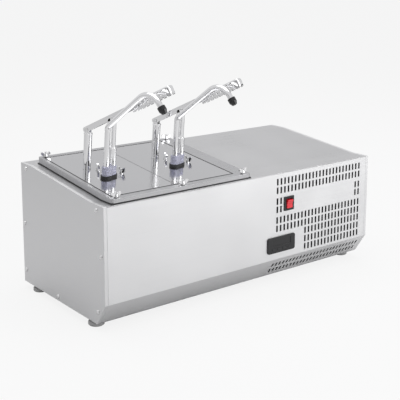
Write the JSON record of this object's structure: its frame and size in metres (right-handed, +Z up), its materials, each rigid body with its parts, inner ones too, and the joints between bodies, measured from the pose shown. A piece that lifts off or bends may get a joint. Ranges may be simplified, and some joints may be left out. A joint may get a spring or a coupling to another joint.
{
  "type": "refrigerated sauce dispenser",
  "caption": "Countertop refrigerated dispenser with lever pumps over lift-out pans, a sloped steel deck and a slotted machine bay.",
  "frame": {"origin": "on the table surface under the middle of the whole unit, nozzles and inlet included", "axes": "+X along the length towards the machine bay, +Y from the front face to the rear, +Z up"},
  "size_m": [0.7056, 0.3624, 0.4525],
  "materials": {
    "brushed_steel": "brushed",
    "lid_steel": "polished sheet",
    "polished_steel": "polished",
    "inner_steel": "satin",
    "black_plastic": "satin",
    "red_plastic": "gloss",
    "collar_plastic": "translucent",
    "black_rubber": "matte",
    "grey_rubber": "matte",
    "foam": "foam",
    "copper": "drawn tube",
    "painted_black": "gloss",
    "aluminium": "plain"
  },
  "bodies": {
    "cabinet": {"base_pan": "inner_steel", "front_panel": "brushed_steel", "left_end_panel": "brushed_steel", "right_end_panel": "brushed_steel", "back_panel": "brushed_steel", "top_deck": "brushed_steel", "end_panel_screws": "polished_steel", "feet": "grey_rubber", "well": "inner_steel", "insulation": "foam", "evaporator_coil": "copper", "lid_frame": "brushed_steel", "pan_ledge": "inner_steel", "bulkhead": "inner_steel", "compressor": "painted_black", "condenser": "aluminium", "fan_frame": "black_plastic", "controller": "black_plastic", "switch_bezel": "black_plastic", "power_inlet": "black_plastic"},
    "fan": {"fan_blades": "black_plastic"},
    "switch_key": {"switch_rocker": "red_plastic"},
    "controller_button_1": {"controller_button_1": "black_plastic"},
    "controller_button_2": {"controller_button_2": "black_plastic"},
    "controller_button_3": {"controller_button_3": "black_plastic"},
    "controller_button_4": {"controller_button_4": "black_plastic"},
    "frame_wing_nut_1": {"frame_wing_nut_1": "polished_steel"},
    "frame_wing_nut_2": {"frame_wing_nut_2": "polished_steel"},
    "frame_wing_nut_3": {"frame_wing_nut_3": "polished_steel"},
    "frame_wing_nut_4": {"frame_wing_nut_4": "polished_steel"},
    "frame_wing_nut_5": {"frame_wing_nut_5": "polished_steel"},
    "frame_wing_nut_6": {"frame_wing_nut_6": "polished_steel"},
    "left_pan": {"left_pan": "inner_steel"},
    "left_lid": {"left_lid": "lid_steel", "left_pump_mount": "polished_steel", "left_pump_cylinder": "polished_steel", "left_spout": "polished_steel", "left_nozzle": "black_plastic", "left_collar": "collar_plastic", "left_seals": "black_rubber", "left_return_spring": "polished_steel", "left_lever_pin": "polished_steel"},
    "left_rod": {"left_piston_rod": "polished_steel"},
    "left_lever": {"left_lever": "polished_steel"},
    "left_wing_nut_rear": {"left_wing_nut_rear": "polished_steel"},
    "left_wing_nut_side": {"left_wing_nut_side": "polished_steel"},
    "right_pan": {"right_pan": "inner_steel"},
    "right_lid": {"right_lid": "lid_steel", "right_pump_mount": "polished_steel", "right_pump_cylinder": "polished_steel", "right_spout": "polished_steel", "right_nozzle": "black_plastic", "right_collar": "collar_plastic", "right_seals": "black_rubber", "right_return_spring": "polished_steel", "right_lever_pin": "polished_steel"},
    "right_rod": {"right_piston_rod": "polished_steel"},
    "right_lever": {"right_lever": "polished_steel"},
    "right_wing_nut_rear": {"right_wing_nut_rear": "polished_steel"},
    "right_wing_nut_side": {"right_wing_nut_side": "polished_steel"}
  },
  "joints": [
    {"name": "fan_spin", "type": "hinge", "parent": "cabinet", "child": "fan", "pos_m": [0.22, 0.11523, 0.115], "axis": [0, 1, 0], "continuous": true},
    {"name": "switch_rock", "type": "hinge", "parent": "cabinet", "child": "switch_key", "pos_m": [0.105, -0.13377, 0.1746], "axis": [1, 0, 0], "range_deg": [-16, 0]},
    {"name": "button_1_press", "type": "slide", "parent": "cabinet", "child": "controller_button_1", "axis": [0, 1, 0], "range_m": [0, 0.0007], "stiffness_N_per_m": 600},
    {"name": "button_2_press", "type": "slide", "parent": "cabinet", "child": "controller_button_2", "axis": [0, 1, 0], "range_m": [0, 0.0007], "stiffness_N_per_m": 600},
    {"name": "button_3_press", "type": "slide", "parent": "cabinet", "child": "controller_button_3", "axis": [0, 1, 0], "range_m": [0, 0.0007], "stiffness_N_per_m": 600},
    {"name": "button_4_press", "type": "slide", "parent": "cabinet", "child": "controller_button_4", "axis": [0, 1, 0], "range_m": [0, 0.0007], "stiffness_N_per_m": 600},
    {"name": "frame_nut_1_turn", "type": "hinge", "parent": "cabinet", "child": "frame_wing_nut_1", "pos_m": [-0.314, -0.12477, 0.25738], "axis": [0, 0, 1], "continuous": true},
    {"name": "frame_nut_2_turn", "type": "hinge", "parent": "cabinet", "child": "frame_wing_nut_2", "pos_m": [-0.163, -0.12477, 0.25738], "axis": [0, 0, 1], "continuous": true},
    {"name": "frame_nut_3_turn", "type": "hinge", "parent": "cabinet", "child": "frame_wing_nut_3", "pos_m": [-0.012, -0.12477, 0.25738], "axis": [0, 0, 1], "continuous": true},
    {"name": "frame_nut_4_turn", "type": "hinge", "parent": "cabinet", "child": "frame_wing_nut_4", "pos_m": [-0.314, 0.13923, 0.28582], "axis": [0, 0, 1], "continuous": true},
    {"name": "frame_nut_5_turn", "type": "hinge", "parent": "cabinet", "child": "frame_wing_nut_5", "pos_m": [-0.163, 0.13923, 0.28582], "axis": [0, 0, 1], "continuous": true},
    {"name": "frame_nut_6_turn", "type": "hinge", "parent": "cabinet", "child": "frame_wing_nut_6", "pos_m": [-0.012, 0.13923, 0.28582], "axis": [0, 0, 1], "continuous": true},
    {"name": "left_pan_lift", "type": "slide", "parent": "cabinet", "child": "left_pan", "axis": [0, 0, 1], "range_m": [0, 0.225]},
    {"name": "left_lid_lift", "type": "slide", "parent": "left_pan", "child": "left_lid", "axis": [0, 0, 1], "range_m": [0, 0.2]},
    {"name": "left_lever_press", "type": "hinge", "parent": "left_lid", "child": "left_lever", "pos_m": [-0.27961, 0.02605, 0.3521], "axis": [0.9348, 0.3533, 0.0381], "range_deg": [0, 22], "stiffness_Nm_per_rad": 0.8, "springref_deg": -28.65},
    {"name": "left_rod_stroke", "type": "slide", "parent": "left_lid", "child": "left_rod", "axis": [0, 0.1071, -0.9942], "range_m": [0, 0.02689], "deforming": ["left_return_spring"]},
    {"name": "left_nut_rear_turn", "type": "hinge", "parent": "left_lid", "child": "left_wing_nut_rear", "pos_m": [-0.26525, 0.01679, 0.27265], "axis": [0, -0.1071, 0.9942], "continuous": true},
    {"name": "left_nut_side_turn", "type": "hinge", "parent": "left_lid", "child": "left_wing_nut_side", "pos_m": [-0.23287, -0.0166, 0.26905], "axis": [0, -0.1071, 0.9942], "continuous": true},
    {"name": "right_pan_lift", "type": "slide", "parent": "cabinet", "child": "right_pan", "axis": [0, 0, 1], "range_m": [0, 0.225]},
    {"name": "right_lid_lift", "type": "slide", "parent": "right_pan", "child": "right_lid", "axis": [0, 0, 1], "range_m": [0, 0.2]},
    {"name": "right_lever_press", "type": "hinge", "parent": "right_lid", "child": "right_lever", "pos_m": [-0.11611, 0.02605, 0.3521], "axis": [0.9348, 0.3533, 0.0381], "range_deg": [0, 22], "stiffness_Nm_per_rad": 0.8, "springref_deg": -28.65},
    {"name": "right_rod_stroke", "type": "slide", "parent": "right_lid", "child": "right_rod", "axis": [0, 0.1071, -0.9942], "range_m": [0, 0.02689], "deforming": ["right_return_spring"]},
    {"name": "right_nut_rear_turn", "type": "hinge", "parent": "right_lid", "child": "right_wing_nut_rear", "pos_m": [-0.10175, 0.01679, 0.27265], "axis": [0, -0.1071, 0.9942], "continuous": true},
    {"name": "right_nut_side_turn", "type": "hinge", "parent": "right_lid", "child": "right_wing_nut_side", "pos_m": [-0.06937, -0.0166, 0.26905], "axis": [0, -0.1071, 0.9942], "continuous": true}
  ],
  "couplings": [
    {"joint": "left_rod_stroke", "follows": "left_lever_press", "m_per_rad": 0.069515},
    {"joint": "right_rod_stroke", "follows": "right_lever_press", "m_per_rad": 0.069515}
  ]
}
